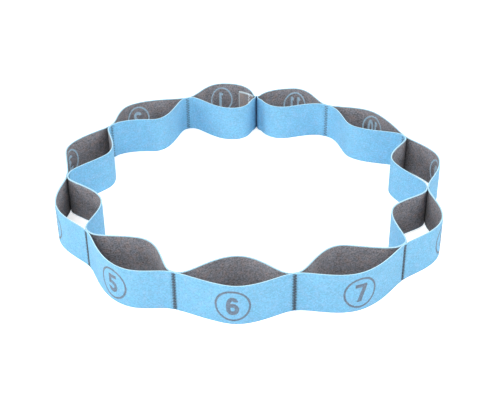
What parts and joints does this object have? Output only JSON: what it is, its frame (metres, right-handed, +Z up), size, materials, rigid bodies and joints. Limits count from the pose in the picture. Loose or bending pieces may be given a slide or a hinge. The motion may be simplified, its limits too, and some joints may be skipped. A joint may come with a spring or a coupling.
{
  "type": "stretching strap",
  "caption": "Closed ring of numbered elastic webbing loops for assisted stretching, blue outside and grey inside, standing on its edge.",
  "frame": {"origin": "middle of the ring of loops, on the surface it stands on", "axes": "+Z up along the webbing width; loop 6 is at -Y, and the join seam between loops 11 and 1 is at +Y; loops count anticlockwise seen from above"},
  "size_m": [0.3866, 0.4044, 0.04],
  "materials": {
    "webbing_blue": "fine cross-ribbed elastic webbing, light blue face",
    "webbing_grey": "fine cross-ribbed elastic webbing, warm grey mottled face",
    "selvage": "pale edge yarn of the webbing",
    "thread_dark": "dense dark slate sewing thread",
    "thread_pale": "pale blue sewing thread",
    "print_grey": "grey woven or printed mark",
    "print_blue": "light blue woven mark seen from behind"
  },
  "bodies": {
    "loop_01": {"outer_panel_01": "webbing_blue", "inner_panel_01": "webbing_blue", "join_tail": "webbing_grey"},
    "loop_02": {"outer_panel_02": "webbing_blue", "inner_panel_02": "webbing_blue"},
    "loop_03": {"outer_panel_03": "webbing_blue", "inner_panel_03": "webbing_blue"},
    "loop_04": {"outer_panel_04": "webbing_blue", "inner_panel_04": "webbing_blue"},
    "loop_05": {"outer_panel_05": "webbing_blue", "inner_panel_05": "webbing_blue"},
    "loop_06": {"outer_panel_06": "webbing_blue", "inner_panel_06": "webbing_blue"},
    "loop_07": {"outer_panel_07": "webbing_blue", "inner_panel_07": "webbing_blue"},
    "loop_08": {"outer_panel_08": "webbing_blue", "inner_panel_08": "webbing_blue"},
    "loop_09": {"outer_panel_09": "webbing_blue", "inner_panel_09": "webbing_blue"},
    "loop_10": {"outer_panel_10": "webbing_blue", "inner_panel_10": "webbing_blue"},
    "loop_11": {"outer_panel_11": "webbing_blue", "inner_panel_11": "webbing_blue"},
    "seam_01": {"bar_tack_01": "thread_dark"},
    "seam_02": {"bar_tack_02": "thread_dark"},
    "seam_03": {"bar_tack_03": "thread_dark"},
    "seam_04": {"bar_tack_04": "thread_dark"},
    "seam_05": {"bar_tack_05": "thread_dark"},
    "seam_06": {"bar_tack_06": "thread_dark"},
    "seam_07": {"bar_tack_07": "thread_dark"},
    "seam_08": {"bar_tack_08": "thread_dark"},
    "seam_09": {"bar_tack_09": "thread_dark"},
    "seam_10": {"bar_tack_10": "thread_dark"},
    "seam_11": {"bar_tack_11": "thread_dark"}
  },
  "joints": [
    {"name": "strap_stretch", "type": "slide", "parent": "loop_06", "child": "seam_05", "axis": [-0.9996, 0.0291, 0], "range_m": [0, 0.05], "stiffness_N_per_m": 400},
    {"name": "seam_05_fold", "type": "hinge", "parent": "seam_05", "child": "loop_05", "pos_m": [-0.06672, -0.17999, 0.02], "axis": [0, 0, 1], "range_deg": [-17.28, 17.28]},
    {"name": "loop_05_stretch", "type": "slide", "parent": "loop_05", "child": "seam_04", "axis": [-0.7873, 0.6166, 0], "range_m": [0, 0.0512]},
    {"name": "ring_fold", "type": "hinge", "parent": "seam_04", "child": "loop_04", "pos_m": [-0.14972, -0.11499, 0.02], "axis": [0, 0, 1], "range_deg": [-45, 45]},
    {"name": "loop_04_stretch", "type": "slide", "parent": "loop_04", "child": "seam_03", "axis": [-0.3134, 0.9496, 0], "range_m": [0, 0.05191]},
    {"name": "seam_03_fold", "type": "hinge", "parent": "seam_03", "child": "loop_03", "pos_m": [-0.18322, -0.0135, 0.02], "axis": [0, 0, 1], "range_deg": [-14.24, 14.24]},
    {"name": "loop_03_stretch", "type": "slide", "parent": "loop_03", "child": "seam_02", "axis": [0.2718, 0.9624, 0], "range_m": [0, 0.0545]},
    {"name": "seam_02_fold", "type": "hinge", "parent": "seam_02", "child": "loop_02", "pos_m": [-0.15272, 0.09451, 0.02], "axis": [0, 0, 1], "range_deg": [-29.39, 29.39]},
    {"name": "loop_02_stretch", "type": "slide", "parent": "loop_02", "child": "seam_01", "axis": [0.7596, 0.6504, 0], "range_m": [0, 0.05115]},
    {"name": "seam_01_fold", "type": "hinge", "parent": "seam_01", "child": "loop_01", "pos_m": [-0.07272, 0.16301, 0.02], "axis": [0, 0, 1], "range_deg": [-43.36, 43.36]},
    {"name": "loop_01_stretch", "type": "slide", "parent": "loop_01", "child": "seam_11", "axis": [0.9993, 0.0375, 0], "range_m": [0, 0.0389]},
    {"name": "seam_06_fold", "type": "hinge", "parent": "loop_06", "child": "seam_06", "pos_m": [0.03628, -0.18299, 0.02], "axis": [0, 0, 1], "range_deg": [-37.1, 37.1]},
    {"name": "loop_07_stretch", "type": "slide", "parent": "seam_06", "child": "loop_07", "axis": [0.9189, 0.3945, 0], "range_m": [0, 0.05233]},
    {"name": "seam_07_fold", "type": "hinge", "parent": "loop_07", "child": "seam_07", "pos_m": [0.13528, -0.1405, 0.02], "axis": [0, 0, 1], "range_deg": [-35.77, 35.77]},
    {"name": "loop_08_stretch", "type": "slide", "parent": "seam_07", "child": "loop_08", "axis": [0.3475, 0.9377, 0], "range_m": [0, 0.05102]},
    {"name": "seam_08_fold", "type": "hinge", "parent": "loop_08", "child": "seam_08", "pos_m": [0.17178, -0.04199, 0.02], "axis": [0, 0, 1], "range_deg": [-2.67, 2.67]},
    {"name": "loop_09_stretch", "type": "slide", "parent": "seam_08", "child": "loop_09", "axis": [-0.0742, 0.9972, 0], "range_m": [0, 0.05236]},
    {"name": "seam_09_fold", "type": "hinge", "parent": "loop_09", "child": "seam_09", "pos_m": [0.16378, 0.0655, 0.02], "axis": [0, 0, 1], "range_deg": [-36.64, 36.64]},
    {"name": "loop_10_stretch", "type": "slide", "parent": "seam_09", "child": "loop_10", "axis": [-0.7117, 0.7025, 0], "range_m": [0, 0.05255]},
    {"name": "seam_10_fold", "type": "hinge", "parent": "loop_10", "child": "seam_10", "pos_m": [0.08678, 0.1415, 0.02], "axis": [0, 0, 1], "range_deg": [-29.82, 29.82]},
    {"name": "loop_11_stretch", "type": "slide", "parent": "seam_10", "child": "loop_11", "axis": [-0.9556, 0.2945, 0], "range_m": [0, 0.04042]}
  ],
  "couplings": [
    {"joint": "seam_05_fold", "follows": "ring_fold", "ratio": 0.38358},
    {"joint": "loop_05_stretch", "follows": "strap_stretch", "ratio": 1.0231},
    {"joint": "loop_04_stretch", "follows": "strap_stretch", "ratio": 1.0373},
    {"joint": "seam_03_fold", "follows": "ring_fold", "ratio": 0.31595},
    {"joint": "loop_03_stretch", "follows": "strap_stretch", "ratio": 1.0891},
    {"joint": "seam_02_fold", "follows": "ring_fold", "ratio": -0.65275},
    {"joint": "loop_02_stretch", "follows": "strap_stretch", "ratio": 1.0221},
    {"joint": "seam_01_fold", "follows": "ring_fold", "ratio": -0.96308},
    {"joint": "loop_01_stretch", "follows": "strap_stretch", "ratio": 0.77692},
    {"joint": "seam_06_fold", "follows": "ring_fold", "ratio": 0.82401},
    {"joint": "loop_07_stretch", "follows": "strap_stretch", "ratio": 1.0455},
    {"joint": "seam_07_fold", "follows": "ring_fold", "ratio": 0.79449},
    {"joint": "loop_08_stretch", "follows": "strap_stretch", "ratio": 1.0194},
    {"joint": "seam_08_fold", "follows": "ring_fold", "ratio": -0.05878},
    {"joint": "loop_09_stretch", "follows": "strap_stretch", "ratio": 1.0461},
    {"joint": "seam_09_fold", "follows": "ring_fold", "ratio": -0.81371},
    {"joint": "loop_10_stretch", "follows": "strap_stretch", "ratio": 1.0499},
    {"joint": "seam_10_fold", "follows": "ring_fold", "ratio": -0.66232},
    {"joint": "loop_11_stretch", "follows": "strap_stretch", "ratio": 0.80732}
  ]
}
